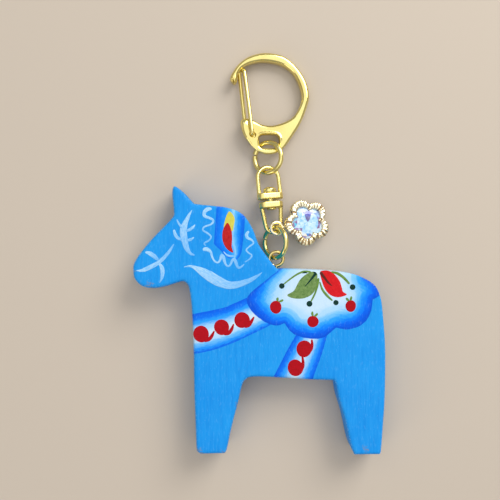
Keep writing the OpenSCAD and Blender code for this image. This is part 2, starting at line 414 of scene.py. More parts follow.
class Finish:
    """Builds the nodes of one material."""

    def __init__(self, name):
        self.material = bpy.data.materials.new(name)
        self.material.use_nodes = True
        self.tree = self.material.node_tree
        self.shader = self.tree.nodes["Principled BSDF"]

    def put(self, node, inputs):
        """Sets or links the inputs of a node that are named, with _ for each space in a name."""
        for key, value in inputs.items():
            socket = node.inputs[key.replace("_", " ") if isinstance(key, str) else key]
            if isinstance(value, bpy.types.NodeSocket):
                self.tree.links.new(value, socket)
            else:
                socket.default_value = value

    def add(self, kind, **inputs):
        node = self.tree.nodes.new("ShaderNode" + kind)
        self.put(node, inputs)
        return node

    def surface(self, **inputs):
        self.put(self.shader, inputs)

    def place(self, scale=(1, 1, 1), spin=0.0):
        coord = self.add("TexCoord").outputs["Object"]
        return self.add("Mapping", Vector=coord, Scale=scale,
                        Rotation=(0, 0, math.radians(spin))).outputs[0]

    def value(self, name, kind="Fac"):
        node = self.add("Attribute")
        node.attribute_name = name
        return node.outputs[kind]

    def vector(self, x, y):
        return self.add("CombineXYZ", X=x, Y=y).outputs[0]

    def noise(self, where, scale, detail=3.0, rough=0.5):
        return self.add("TexNoise", Vector=where, Scale=scale, Detail=detail,
                        Roughness=rough).outputs["Fac"]

    def math(self, how, a, b, c=0.0):
        node = self.add("Math")
        node.operation = how
        self.put(node, {0: a, 1: b, 2: c})
        return node.outputs[0]

    def times(self, a, b):
        return self.math("MULTIPLY", a, b)

    def plus(self, a, b):
        return self.math("ADD", a, b)

    def lift(self, a, share, b):
        """A share of a, added to b."""
        return self.math("MULTIPLY_ADD", a, share, b)

    def swing(self, noise):
        """A noise as steps up and down from nothing."""
        return self.math("SUBTRACT", noise, 0.5)

    def between(self, value, low, high, to_low=0.0, to_high=1.0):
        return self.add("MapRange", Value=value, From_Min=low, From_Max=high,
                        To_Min=to_low, To_Max=to_high).outputs[0]

    def mix(self, amount, a, b, how="MIX"):
        node = self.add("Mix")
        node.data_type = "RGBA"
        node.blend_type = how
        colours = [i for i, socket in enumerate(node.inputs) if socket.type == "RGBA"]
        self.put(node, {0: amount, colours[0]: a, colours[1]: b})
        return [socket for socket in node.outputs if socket.type == "RGBA"][0]

    def ramp(self, value, *stops):
        node = self.add("ValToRGB", Fac=value)
        node.color_ramp.interpolation = "EASE"
        while len(node.color_ramp.elements) < len(stops):
            node.color_ramp.elements.new(0.5)
        for element, (at, text) in zip(node.color_ramp.elements, stops):
            element.position = at
            element.color = colour(text)
        return node.outputs[0]

    def bump(self, height, strength, distance):
        node = self.add("Bump", Height=height, Strength=strength, Distance=distance * MM)
        self.surface(Normal=node.outputs[0])


def painted_wood():
    """Blue acrylic over sanded wood, with the blended bands, the saddle and the mane panel."""
    f = Finish("blue_painted_wood")
    broad = f.noise(f.place(), 90, 3)
    streak = f.noise(f.place((1, 0.05, 1)), 3200, 4, 0.6)
    grain = f.noise(f.place((1, 0.12, 1)), 1200, 3, 0.55)
    speck = f.noise(f.place(), 2600, 2, 0.5)
    wobble = f.swing(f.noise(f.place(), 900, 3))
    blue = f.mix(f.between(broad, 0.3, 0.7), colour("1289E0"), colour("1A93E6"))
    blue = f.mix(f.between(streak, 0.4, 0.75, 0, 0.34), blue, colour("3CA4EE"))
    result = f.mix(f.between(grain, 0.5, 0.72, 0, 0.28), blue, colour("0A72CC"))

    # each band's colours run from its first edge to its second
    for name, stops in (
            ("breast", [(0.0, "0358DE"), (0.12, "066CEA"), (0.24, "2496F6"), (0.38, "96C8F4"),
                        (0.54, "C2DCF0"), (0.7, "A8D0F2"), (0.8, "5CB0F6"), (0.9, "1C8CF2"),
                        (0.985, "0462E0")]),
            ("belly", [(0.0, "0354DA"), (0.1, "066CEA"), (0.22, "2C98F4"), (0.36, "8EC4F2"),
                       (0.52, "C4DCF0"), (0.66, "8EC4F4"), (0.8, "2896F6"), (0.92, "066CEA"),
                       (1.0, "0358DC")]),
            ("mane", [(0.0, "0560DC"), (0.12, "0872E8"), (0.3, "0E88F0"), (0.5, "3AA0F4"),
                      (0.62, "84C2F5"), (0.69, "48A8F5"), (0.8, "1084EE"), (0.92, "066AE2"),
                      (1.0, "0560D8")])):
        wavy = f.plus(f.value(name + "_across"), f.times(wobble, 0.06))
        brushed = f.noise(f.vector(f.times(f.value(name + "_along"), 0.2), f.times(wavy, 7)), 5, 3)
        wavy = f.plus(wavy, f.times(f.swing(brushed), 0.12))
        edge = f.plus(f.value(name), f.times(wobble, 0.2))
        result = f.mix(f.between(edge, -0.06, 0.12), result, f.ramp(wavy, *stops))

    inward = f.value("saddle")
    along = f.value("saddle_along")
    bristle = f.noise(f.vector(along, f.times(inward, 0.18)), 2.6, 5, 0.65)
    sweep = f.noise(f.vector(f.times(along, 0.12), inward), 2.2, 4, 0.6)
    cloud = f.noise(f.place((1, 0.5, 1)), 260, 4)
    depth = f.lift(f.swing(bristle), 1.1, f.value("saddle_depth"))
    depth = f.lift(f.swing(sweep), 1.5, depth)
    depth = f.lift(f.swing(cloud), 1.6, depth)
    shade = f.ramp(f.between(depth, 0.0, 8.0), (0.0, "0352D4"), (0.1, "035EE4"), (0.22, "0A7CF2"),
                   (0.34, "2C9CF8"), (0.46, "6EBAF8"), (0.6, "A4D0F4"), (0.85, "BEDAF0"))
    rim_line = f.between(f.lift(wobble, 0.4, inward), 0.15, 0.7, 0.75, 0)
    shade = f.mix(rim_line, shade, colour("0350CE"))
    shade = f.mix(f.between(streak, 0.45, 0.8, 0, 0.35), shade, colour("E6F2FB"), "MULTIPLY")
    edge = f.plus(inward, f.times(wobble, 0.3))
    result = f.mix(f.between(edge, -0.06, 0.1), result, shade)

    # a painted highlight in lighter blue flecks along the rim, where the rounded edge catches the light;
    # bare worn corners, lighter dashes of grain and a little dust
    rim_highlight = f.between(f.times(speck, f.value("rim")), 0.45, 0.75, 0, 0.5)
    result = f.mix(rim_highlight, result, colour("9FD0F5"))
    worn = f.times(f.value("wear"), f.between(f.noise(f.place(), 1500, 4, 0.65), 0.42, 0.62))
    result = f.mix(f.between(worn, 0.2, 0.7, 0, 0.6), result, colour("7E7C80"))
    dashes = f.between(f.noise(f.place((1, 0.25, 1)), 2600, 2), 0.58, 0.74, 0, 0.16)
    result = f.mix(dashes, result, colour("7CC4F8"))
    dust = f.between(f.noise(f.place(), 4200, 1), 0.78, 0.81, 0, 0.4)
    result = f.mix(dust, result, colour("D8ECFA"))
    f.surface(Base_Color=result, Roughness=f.between(streak, 0.2, 0.8, 0.36, 0.52),
              Specular_IOR_Level=0.08)
    height = f.plus(f.times(streak, 0.5), f.times(grain, 1.0))
    f.bump(f.lift(speck, 0.35, height), 0.5, 0.05)
    return f.material


def brush_paint(name, thin, thick, shine, streaks=0.5, under=None):
    """Hand-laid paint: bristle marks run along each stroke, and thin paint shows what is under it."""
    f = Finish(name)
    lane = f.vector(f.times(f.value("along"), 0.22), f.times(f.value("across"), 2.2))
    bristle = f.noise(lane, 2.4, 4, 0.6)
    mottle = f.noise(f.place(), 1400, 4, 0.6)
    full = f.plus(f.times(bristle, streaks), f.times(mottle, 1 - streaks))
    shade = f.mix(f.between(full, 0.34, 0.66), colour(thin), colour(thick))
    if under:
        shade = f.mix(f.between(bristle, 0.25, 0.5, 0.5, 0), shade, colour(under))
        shade = f.mix(f.between(f.value("tail"), 0.15, 0.95, 0, 0.5), shade, colour(under))
    f.surface(Base_Color=shade, Roughness=f.between(mottle, 0.3, 0.7, shine - 0.06, shine + 0.08),
              Specular_IOR_Level=0.1)
    f.bump(full, 0.45, 0.04)
    return f.material


def plated(name, light, dark, rough, brushed=None, notch_shade=None):
    """Plated metal with faint waves from the casting and fine rubbed scratches.
    brushed is the scale of a bar's brush lines; the last argument is a painted shade colour laid down in a
    rim's notches."""
    f = Finish(name)
    waves = f.noise(f.place(), 420, 3)
    rub = f.noise(f.place((1, 0.15, 1), 25), 4200, 3)
    cloud = f.noise(f.place(), 150, 2)
    shade = f.mix(f.between(cloud, 0.3, 0.7), colour(light), colour(dark))
    height = f.lift(rub, 0.12, waves)
    spread = f.between(rub, 0.3, 0.8, rough - 0.03, rough + 0.09)
    if notch_shade:
        # painted shade: a dark brown laid into the rim's cut notches
        shade = f.mix(f.between(f.value("cut"), 0.35, 0.85, 0, 0.9), shade, colour(notch_shade))
    if brushed:
        lines = f.noise(f.place(brushed), 5200, 3, 0.6)
        on = f.value("brushed")
        height = f.plus(height, f.times(f.times(lines, on), 1.6))
        spread = f.lift(on, 0.12, spread)
    f.surface(Base_Color=shade, Metallic=1.0, Roughness=spread)
    f.bump(height, 0.25, 0.05)
    return f.material


def cut_stone():
    """Foil-backed cut glass: each facet has its own painted colour standing in for the light and
    reflections seen inside it, with painted white glints over it.
    """
    f = Finish("cut_stone")
    glint_noise = f.noise(f.place(), 700, 3, 0.6)
    # painted glints: white flecks over the facets' painted reflection colours
    shade = f.mix(f.between(glint_noise, 0.45, 0.75, 0, 0.3), f.value("facet", "Color"), colour("E6F2FC"))
    f.surface(Base_Color=shade, Roughness=f.between(glint_noise, 0.3, 0.7, 0.04, 0.1), Metallic=0.0,
              Coat_Weight=0.3, Coat_Roughness=0.03)
    f.bump(glint_noise, 0.06, 0.02)
    return f.material


BLUE = painted_wood()
WHITE = brush_paint("thin_white_paint", "76BAF0", "B4D8F4", 0.42, 0.6, "1E97E8")
RED = brush_paint("red_paint", "98000E", "AE0418", 0.38)
LEAF_RED = brush_paint("leaf_red_paint", "B80E16", "D41E24", 0.4)
GREEN = brush_paint("leaf_green_paint", "4E7038", "7C9A5E", 0.42, 0.3)
STEM = brush_paint("stem_green_paint", "4C7432", "74964A", 0.42)
DARK = brush_paint("dark_green_paint", "062A24", "0E3C34", 0.36)
VEIN = brush_paint("dark_red_paint", "4A1816", "6A2420", 0.4)
YELLOW = brush_paint("yellow_paint", "BDBA44", "D2CC5C", 0.42)
TEAR = brush_paint("tear_red_paint", "9C1018", "C02824", 0.4)
GOLD = plated("gold_plate", "F2E698", "E6D280", 0.15)
BRUSHED_GOLD = plated("brushed_gold_plate", "F0E394", "E2CE7A", 0.17, brushed=(1, 0.08, 1))
BRASS = plated("brass_wire", "EFDA94", "D6BC74", 0.2)
BRIGHT_BRASS = plated("bright_brass_wire", "F2E698", "E6D280", 0.15)
# the pale gold's dark brown is painted shade for the rim's notches
PALE_GOLD = plated("pale_gold_plate", "F6EED2", "EADDB2", 0.16, notch_shade="6E4A28")
STONE = cut_stone()


# ---- the wooden horse

def cad_outline(node, height):
    """The outline of a flat-topped CAD node, walked along the rim of its face at that height."""
    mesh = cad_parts[node].data
    co = np.array([v.co[:] for v in mesh.vertices]) / MM
    keys = [tuple(np.round(c, 3)) for c in co]
    sides = []
    for poly in mesh.polygons:
        ring = [keys[i] for i in poly.vertices]
        if all(abs(k[2] - height) < 0.01 for k in ring):
            sides += zip(ring, ring[1:] + ring[:1])
    follow = dict(border_of(sides))
    start = max(follow, key=lambda k: k[1])
    loop = [start]
    while follow[loop[-1]] != start:
        loop.append(follow[loop[-1]])
    return np.array(loop)[:, :2]


def eased(loop, corner):
    """Rounds the facets of an outline, but keeps its true corners, which bend by more than corner."""
    loop = split_evenly(loop, 1.0)
    n = len(loop)
    before = loop - np.roll(loop, 1, axis=0)
    after = np.roll(loop, -1, axis=0) - loop
    cross = before[:, 0] * after[:, 1] - before[:, 1] * after[:, 0]
    bend = np.abs(np.degrees(np.arctan2(cross, (before * after).sum(1))))
    corners = [i for i in range(n) if bend[i] > corner]
    loop = np.roll(loop, -corners[0], axis=0)
    corners = [i - corners[0] for i in corners] + [n]
    closed = np.vstack([loop, loop[:1]])
    out = [smooth(closed[a:b + 1], 4)[:-1] for a, b in zip(corners[:-1], corners[1:])]
    return np.vstack(out)


HORSE = eased(cad_outline("horse_body", THICK), 26)
SOFT_EDGE = 0.9

# the saddle's lower edge from the neck round to the rump, and the two edges of each band
SADDLE = runs(
    [(6.6, -4.2), (5.0, -5.5), (1.9, -8.0), (-1.1, -10.4), (-2.9, -12.1), (-3.4, -13.5),
     (-2.8, -15.3), (-1.3, -17.2), (1.2, -19.1), (3.4, -20.0), (5.2, -20.1), (6.6, -19.5)],
    [(6.6, -19.5), (7.6, -21.0), (8.9, -22.3), (11.4, -23.3), (14.5, -23.7), (17.0, -23.3),
     (18.6, -22.1), (20.3, -20.7)],
    [(20.3, -20.7), (23.1, -21.2), (26.0, -20.5), (28.1, -19.0), (29.4, -16.6), (29.8, -14.6),
     (29.9, -13.3)],
    [(29.9, -13.3), (31.0, -12.8), (31.8, -12.2)],
    [(31.8, -12.2), (31.2, -10.4), (29.6, -8.7), (27.6, -7.6)])
BREAST_TOP = smooth([(-20, -17.4), (-17.7, -17.1), (-9.8, -15.5), (-6.8, -14.3), (-3.2, -12.7), (0, -11)])
BREAST_LOW = smooth([(-20, -28), (-17.2, -27.7), (-11.8, -26.5), (-6.8, -24.7), (-1.7, -22.3),
                     (2.4, -20.3), (5, -18.6)])
BELLY_LEFT = smooth([(11.5, -19.5), (9.7, -22.5), (7.1, -27.1), (3.6, -33.9), (2.6, -36)])
BELLY_RIGHT = smooth([(18.6, -20), (17.8, -23), (16.5, -27.6), (14, -34.6), (13.5, -37)])
MANE_LEFT = runs([(-11.3, 13), (-11.4, 11), (-11.7, 6), (-12.1, 1.4)],
                 [(-12.1, 1.4), (-10.3, -0.3), (-9.2, -1.6), (-8, -2.5)])
MANE_RIGHT = smooth([(-3.8, 13), (-3.85, 8), (-4.1, 4), (-4.6, 0), (-5, -1.6), (-5.8, -2.7)])


def band(points, first, second):
    """Signed distance into a band between two chains, how far across it, and how far along."""
    d1, along = nearest(points, first)
    d2 = nearest(points, second)[0]
    loop = np.vstack([first, second[::-1]])
    sign = np.where(inside(points, loop), 1, -1)
    return sign * np.minimum(d1, d2), d1 / (d1 + d2 + 1e-9), along


def horse_values(verts):
    """Where each point lies in the bands and the saddle, how near the rim it is for the painted rim
    highlight, and how worn it is there.
    """
    xy = verts[:, :2]
    values = {}
    for name, first, second in (("breast", BREAST_TOP, BREAST_LOW), ("belly", BELLY_LEFT, BELLY_RIGHT),
                                ("mane", MANE_LEFT, MANE_RIGHT)):
        values[name], values[name + "_across"], values[name + "_along"] = band(xy, first, second)
    d, along = nearest(xy, SADDLE)
    loop = np.vstack([SADDLE, [(30, -2), (8, -2)]])
    values["saddle"] = np.where(inside(xy, loop), 1, -1) * d
    values["saddle_along"] = along
    # the saddle grows paler both away from its edge and towards the middle of an oval
    oval = np.hypot((xy[:, 0] - 14.3) / 13.5, (xy[:, 1] + 9.5) / 10)
    values["saddle_depth"] = 0.45 * d + 0.5 * (3.1 + (1 - oval) * 10.5)
    # the painted rim highlight lies only near the front and back faces, not half way down the side walls
    by_face = np.clip(np.abs(verts[:, 2] - THICK / 2) - 3.6, 0, 1)
    values["rim"] = np.clip(1.25 - nearest(xy, HORSE, True)[0] / SOFT_EDGE, 0, 1) * by_face
    worn = np.zeros(len(xy))
    for x, y, r in ((-28.9, -9.3, 1.3), (-15.8, -53.6, 1.4), (-9.8, -53.8, 1.1), (27.6, -52.3, 0.8),
                    (28.4, -53, 0.7), (-5.9, -41, 0.8), (33, -45, 0.7), (-33.2, -6, 0.7)):
        worn += np.exp(-((xy[:, 0] - x) ** 2 + (xy[:, 1] - y) ** 2) / r ** 2)
    values["wear"] = worn
    return values


body_shape = slab([HORSE], face(THICK, SOFT_EDGE, SOFT_EDGE), face(0, SOFT_EDGE, -SOFT_EDGE),
                  SOFT_EDGE, 0.5, 9)
piece("painted_horse", body_shape, "horse", BLUE, ["horse_body"],
      values=horse_values(body_shape[0]))


# ---- the painting on the horse

# paint starts just inside the wood's face and reaches a little way down into it
PAINT_TOP = THICK - 0.01
PAINT_LOW = THICK - 0.06


class Brushwork:
    """Collects the strokes and dabs of one paint on the horse's front and back."""

    def __init__(self):
        self.shapes = []
        self.values = {"along": [], "across": [], "tail": []}

    def add(self, shape, **values):
        self.shapes.append(both_sides(shape))
        for key, numbers in values.items():
            self.values[key] += list(numbers) * 2

    def stroke(self, points, widths, height=0.05):
        """One brush stroke: a low domed ribbon as wide as widths says along its length."""
        path = smooth(points, 7)
        walked = np.concatenate([[0], np.cumsum(np.linalg.norm(np.diff(path, axis=0), axis=1))])
        end = walked[-1]
        tip = np.array([0, 0.02, 0.06, 0.12, 0.2, 0.32, 0.45])
        far = np.concatenate([tip, np.arange(0.6, end - 0.6, 0.3), (end - tip)[::-1]])
        path = np.column_stack([np.interp(far, walked, path[:, k]) for k in (0, 1)])
        wide = np.interp(far, np.linspace(0, end, len(widths)), widths)
        to_tip = np.clip(np.minimum(far, end - far) / (0.5 * wide + 0.05), 0, 1)
        wide = wide * np.sqrt(1.002 - (1 - to_tip) ** 2)
        way = np.gradient(path, axis=0)
        way /= np.linalg.norm(way, axis=1)[:, None] + 1e-9
        side = np.stack([-way[:, 1], way[:, 0]], 1)
        shares = (-1, -0.85, -0.5, 0, 0.5, 0.85, 1)
        verts, across = [], []
        for p, s, w in zip(path, side, wide):
            for share in shares:
                q = p + s * w / 2 * share
                top = PAINT_TOP + height * min(1.0, w / 0.6) * math.sqrt(1.0001 - share * share)
                verts.append((q[0], q[1], top))
                across.append(share * w / 2 + 7 * points[0][0])
            verts.append((p[0], p[1], PAINT_LOW))
            across.append(0)
        n = len(shares) + 1
        # the ribbon's points run the other way round from a tube's, so each face is turned over
        faces = [(f[1], f[0]) + f[:1:-1] if len(f) == 4 else f[::-1] for f in skin(len(path), n)]
        self.add((np.array(verts), faces), along=np.repeat(far, n), across=across,
                 tail=np.repeat(far / end, n))

    def dab(self, loop, height=0.05, grain=(1, 0)):
        """A filled patch of paint with a soft raised edge."""
        def top(x, y, d):
            return PAINT_TOP + height * (1 - np.exp(-d / 0.12))

        shape = slab([loop], top, face(PAINT_LOW), 0.18, 0.35, 1)
        xy = shape[0][:, :2]
        self.add(shape, along=xy @ np.array(grain), across=xy @ np.array((-grain[1], grain[0])),
                 tail=np.zeros(len(xy)))

    def finish(self, name, material):
        piece(name, joined(*self.shapes), "horse", material, values=self.values)


def patch(name, material, outline, height, grain):
    """A paint that is used for one patch only."""
    paint = Brushwork()
    paint.dab(smooth_loop(outline), height, grain)
    paint.finish(name, material)


# each stroke's path and its widths: the muzzle's cross, the eye and its lashes, the cheek, and the
# curls round the mane panel
WHITE_STROKES = [
    ([(-32.5, -5.6), (-31, -5.6), (-29, -4.8), (-27, -3.7), (-25.3, -2.3), (-23.8, -0.5),
      (-22.6, 1.4)], [0.25, 1.1, 1.25, 1.1, 1.0, 0.8, 0.35]),
    ([(-30.2, -0.8), (-29.2, -1), (-27.9, -1.8), (-26.7, -2.9)], [0.5, 1.2, 1.2, 0.7]),
    ([(-26.6, -3.7), (-25.8, -4.8), (-25.6, -6.2), (-25.8, -7.6), (-26.4, -8.9)],
     [0.5, 1.2, 1.15, 0.8, 0.15]),
    ([(-17.8, 10.4), (-18.7, 8.8), (-19.6, 6.9), (-20.1, 5.2), (-20, 3.5), (-19.7, 1.9),
      (-19.2, 0.3), (-18.4, -1), (-17.1, -1.6)], [0.15, 0.8, 1.3, 1.9, 2.0, 1.8, 1.6, 1.0, 0.3]),
    ([(-21.8, 7.9), (-21.3, 6.8), (-20.3, 5.4)], [0.3, 0.6, 0.6]),
    ([(-22.6, 5.2), (-22.3, 4), (-21.6, 3), (-20.3, 2.5)], [0.6, 0.9, 0.9, 0.7]),
    ([(-17, 6.5), (-17.6, 5.8), (-18.4, 5.2), (-19.6, 4.8)], [0.3, 0.8, 0.8, 0.6]),
    ([(-17.3, 3.2), (-18.1, 2.6), (-19.4, 2.3)], [0.3, 0.8, 0.7]),
    ([(-20, -4.7), (-18, -4.5), (-15.5, -5.7), (-13.2, -7.1), (-10.8, -8.5), (-8, -9.5),
      (-5.4, -9.2), (-2.8, -8.3), (-0.8, -7.2), (0.7, -6.1)],
     [0.15, 0.8, 2.2, 2.9, 2.8, 2.3, 1.9, 1.5, 1.0, 0.2]),
    ([(-12.6, 10.6), (-13.6, 10.6), (-14.5, 9.9), (-14.5, 8.8), (-13.3, 8.3), (-12.2, 7.6),
      (-12.8, 6.6), (-14.6, 5.9), (-14.9, 5), (-13.8, 4.3), (-12.8, 3.3), (-13.4, 2.3),
      (-14.6, 1.6), (-14.2, 0.9)],
     [0.7, 1.1, 1.0, 0.8, 0.65, 0.6, 0.5, 0.5, 0.5, 0.55, 0.5, 0.45, 0.5, 0.3]),
    ([(-15, -0.1), (-13.9, 0), (-12.9, -0.7), (-12.5, -2), (-11.8, -3.2), (-10.9, -3.5),
      (-10.3, -2.6), (-10, -1.5), (-9.5, -2.2), (-9.1, -3.6), (-8.4, -4.5), (-7.7, -4.1),
      (-7.2, -3), (-6.6, -2.7), (-6.2, -3.6), (-5.7, -4.8), (-4.9, -4.7), (-4, -3.9)],
     [1.0, 1.1, 0.7, 0.6, 0.5, 0.5, 0.6, 0.8, 0.9, 0.8, 0.55, 0.5, 0.6, 0.85, 0.9, 0.7, 0.5, 0.35]),
    ([(-2.8, 4.8), (-3.4, 3.9), (-3.1, 3), (-2, 2.4), (-1.6, 1.6), (-2.7, 0.7), (-3.5, -0.2),
      (-2.8, -1), (-2, -1.6), (-2.6, -2.6), (-3.9, -3.4)],
     [0.6, 0.95, 0.75, 0.5, 0.45, 0.4, 0.45, 0.45, 0.5, 0.4, 0.3]),
    ([(-9.5, -0.6), (-8.5, -1.6), (-7, -1.8), (-5.8, -1.2)], [0.25, 0.55, 0.5, 0.2])]
white = Brushwork()
for points, widths in WHITE_STROKES:
    white.stroke(points, widths)
white.finish("white_strokes", WHITE)

# red discs with tails on the breast band and the belly band, then the three cherries
BREAST_TAIL = [0.7, 1.1, 0.9, 0.35]
BELLY_TAIL = [0.6, 1.0, 0.8, 0.5]
red = Brushwork()
for x, y, r, widths, tail in (
        (-15.4, -22.4, 2.1, BREAST_TAIL, [(-14.7, -24.3), (-13.4, -23.8), (-12.6, -22.9), (-11.9, -21.5)]),
        (-10, -20.6, 2.0, BREAST_TAIL, [(-9.5, -22.4), (-8.3, -22.2), (-7.4, -21.2), (-6.8, -19.7)]),
        (-4.6, -18.7, 2.05, BREAST_TAIL, [(-4, -20.6), (-2.8, -20), (-2.1, -19), (-1.4, -17.8)]),
        (11.8, -26.3, 2.1, BELLY_TAIL, [(12.8, -27.6), (13.6, -26.4), (13.9, -25.2), (13.8, -23.8)]),
        (9.5, -31.3, 2.1, BELLY_TAIL, [(10.8, -32.4), (11.4, -31), (11.5, -29.6), (11.3, -28.2)])):
    red.dab(dot(x, y, r, 0.02))
    red.stroke(tail, widths, 0.06)
for x, y, r in ((4.3, -15.3, 1.6), (14.1, -19.1, 1.5), (24.1, -15, 1.45)):
    red.dab(dot(x, y, r, 0.03), 0.07)
red.finish("red_dots", RED)

patch("green_leaf", GREEN, [
    (15.2, -6.4), (14, -5.9), (12.3, -6.6), (10.8, -7.9), (9.9, -9.4), (9, -11), (7.3, -12.1),
    (8.6, -12.9), (10.9, -13.1), (12.8, -12.6), (14.2, -11.6), (15, -10), (15.3, -8)], 0.05, (0.6, 0.8))
patch("red_leaf", LEAF_RED, [
    (16, -6.1), (17.2, -5.6), (18.6, -5.8), (20, -6.8), (21.2, -8.4), (21.8, -10.2), (22.1, -11.2),
    (23.1, -11.9), (22, -12.5), (20.4, -12.7), (18.7, -12.1), (17.4, -10.7), (16.5, -8.6)],
      0.05, (0.6, -0.8))

vein = Brushwork()
vein.stroke([(16.1, -6), (17, -7.3), (18.1, -8.7), (19.4, -9.9)], [0.95, 0.85, 0.7, 0.3], 0.09)
vein.finish("red_leaf_vein", VEIN)

# the spray's stems, then a pair of short stalks on each cherry
stem = Brushwork()
stem.stroke([(13.6, -6), (11.8, -5.9), (10, -6.6), (8.2, -7.8), (6.3, -9.3)], [0.45, 0.55, 0.5, 0.45, 0.4])
stem.stroke([(15.6, -7.6), (15.3, -9.6), (14.6, -11.8), (13.6, -13.8)], [0.6, 0.6, 0.5, 0.45], 0.08)
stem.stroke([(15.9, -8.6), (16.6, -10.6), (17.8, -12.2), (19.3, -13.6)], [0.4, 0.6, 0.7, 0.45], 0.08)
stem.stroke([(18.9, -6), (20.6, -6.4), (22.2, -7.5), (23.8, -9.2)], [0.45, 0.75, 0.75, 0.6])
for (x, y), (s, t), (u, v) in (((4.9, -13.9), (4.9, -12.7), (6.3, -13.3)),
                               ((14.2, -17.8), (14, -16.4), (15.4, -16.9)),
                               ((23.8, -13.7), (22.9, -12.8), (24.3, -12.4))):
    stem.stroke([(x, y), ((x + s) / 2 - 0.15, (y + t) / 2), (s, t)], [0.3, 0.75, 0.5])
    stem.stroke([(x + 0.1, y), ((x + u) / 2 + 0.1, (y + v) / 2 - 0.1), (u, v)], [0.3, 0.7, 0.5])
stem.finish("green_stems", STEM)

dark = Brushwork()
dark.stroke([(14.8, -6.4), (13.6, -8), (12.2, -9.6), (10.7, -10.9)], [0.8, 0.6, 0.4, 0.15], 0.09)
dark.stroke([(14.2, -6), (14.7, -6.4), (15, -7)], [0.3, 0.8, 0.3], 0.09)
dark.stroke([(11.3, -6.3), (12, -6.1), (12.6, -6.3)], [0.2, 0.55, 0.2], 0.09)
for x, y, r in ((5.9, -9.7, 0.75), (13.2, -14.4, 0.8), (20.2, -14.1, 0.72), (24.6, -10, 0.78)):
    dark.dab(circle(x, y, r, 20), 0.09)
dark.finish("dark_green_dots", DARK)

patch("yellow_tear", YELLOW, [
    (-8, 10), (-8.7, 9), (-9.2, 7.4), (-9.4, 5.6), (-8, 5), (-7.1, 4.8), (-6.7, 6.4), (-6.5, 8),
    (-7.1, 9.3)], 0.04, (0, 1))
patch("red_tear", TEAR, [
    (-8.5, 7.1), (-9.3, 6), (-9.8, 4.4), (-9.8, 2.6), (-9.2, 0.9), (-8.2, -0.3), (-6.9, -0.9),
    (-7.3, 0.6), (-7.2, 2.6), (-7.3, 4.6), (-7.7, 6.2)], 0.07, (0, 1))


# ---- screw eye and jump rings

def arc(r, start, end, count):
    """Places round a circle about the origin, from one angle in degrees to another."""
    return [(r * math.cos(a), r * math.sin(a), 0)
            for a in np.radians(np.linspace(start, end, count))]


def screw_eye():
    """A wire bent round into an eye beside its own shank, with a rolled wood thread below."""
    wire_r, eye_r = 0.45, 1.9
    bend = [(0, -3.2 + 0.25 * k, 0) for k in range(4)] + [(0.06, -2.15, 0)]
    wire, radii = capped(bend + arc(eye_r, -84, 252, 84), wire_r, 0.1)
    shank = tube([(0, -2.6, 0), (0, -8.4, 0), (0, -9.2, 0), (0, -9.9, 0)], [wire_r, wire_r, 0.3, 0.04], 20)
    turns, pitch, thread_r = 10, 0.55, 0.5
    count = turns * 16
    thread = [(thread_r * math.cos(a), -3.4 - pitch * a / (2 * math.pi), thread_r * math.sin(a))
              for a in np.linspace(0, 2 * math.pi * turns, count)]
    fade = [0.05 + 0.2 * min(1, k / 16, (count - k) / 30) for k in range(count)]
    return joined(tube(wire, radii, 20), shank, tube(thread, fade, 8))


piece("brass_screw_eye", placed(screw_eye(), EYE), "horse", BRASS, ["screw_eye"])


def jump_ring():
    """A wire ring with its saw cut on the -X side, the two ends a hair out of line."""
    ring_r, wire_r, cut, half_gap, count = 4.15, 0.65, 167.5, 1.9, 120
    path = arc(ring_r, cut + half_gap, cut + 360 - half_gap, count)
    path = [(x, y, 0.06 * (i / (count - 1) - 0.5)) for i, (x, y, z) in enumerate(path)]
    return tube(*capped(path, wire_r, 0.09), 24)


for name, where in (("lower", LOWER_RING), ("upper", UPPER_RING)):
    piece(name + "_ring", placed(jump_ring(), where), name + "_ring", BRIGHT_BRASS,
          [name + "_jump_ring"])


# ---- swivel

BAR_HALF = 0.9


def bail_shape(bend, reach, taper, hole):
    """A U of wire whose two feet run into a forged bar with a hole through it."""
    wire = 1.15
    centre = reach - bend
    c, s = math.cos(math.radians(taper)), math.sin(math.radians(taper))
    foot = (bend + centre * s) / c
    touch = (bend * c, centre + bend * s)
    left = [(-foot + (foot - touch[0]) * t, touch[1] * t, 0) for t in np.linspace(0, 0.97, 10)]
    over = [(bend * math.cos(a), centre + bend * math.sin(a), 0)
            for a in np.radians(np.linspace(180 - taper, taper, 40))]
    right = [(-x, y, 0) for x, y, z in left[::-1]]
    loop = tube(left + over + right, wire / 2, 20)
    half, end_r, soft = foot + wire / 2, 1.7, 0.35
    outline = [(side * (half - end_r + end_r * math.cos(a)), side * end_r * math.sin(a))
               for side in (1, -1) for a in np.radians(np.linspace(-80, 80, 16))]

    def top(x, y, d):
        return BAR_HALF - edge_drop(d, soft, 0.3) - 0.05 * (x / half) ** 2

    def low(x, y, d):
        return -top(x, y, d)

    bar = slab([outline, circle(0, 0, hole, 40)], top, low, soft, 0.3, 4)
    return joined(loop, placed(bar, turn("X", -90)))


def mark_bar(obj, where):
    """Notes which part of a bail is the brushed bar."""
    back = where.inverted()
    past_bar = [abs((back @ (v.co / MM)).y) - BAR_HALF - 0.05 for v in obj.data.vertices]
    note(obj.data, "brushed", [1.0 if far < 0 else max(0.0, 1 - far * 2) for far in past_bar])


for name, where, sizes in (("lower_bail", LOWER_BAIL, (2.1, 7.6, 6.5, 0.83)),
                           ("upper_bail", UPPER_BAIL, (3, 8.05, 1, 0.86))):
    made = piece(name + "_forged", placed(bail_shape(*sizes), where), name,
                 BRUSHED_GOLD, [name])
    melt(made, 0.09)
    mark_bar(made, where)

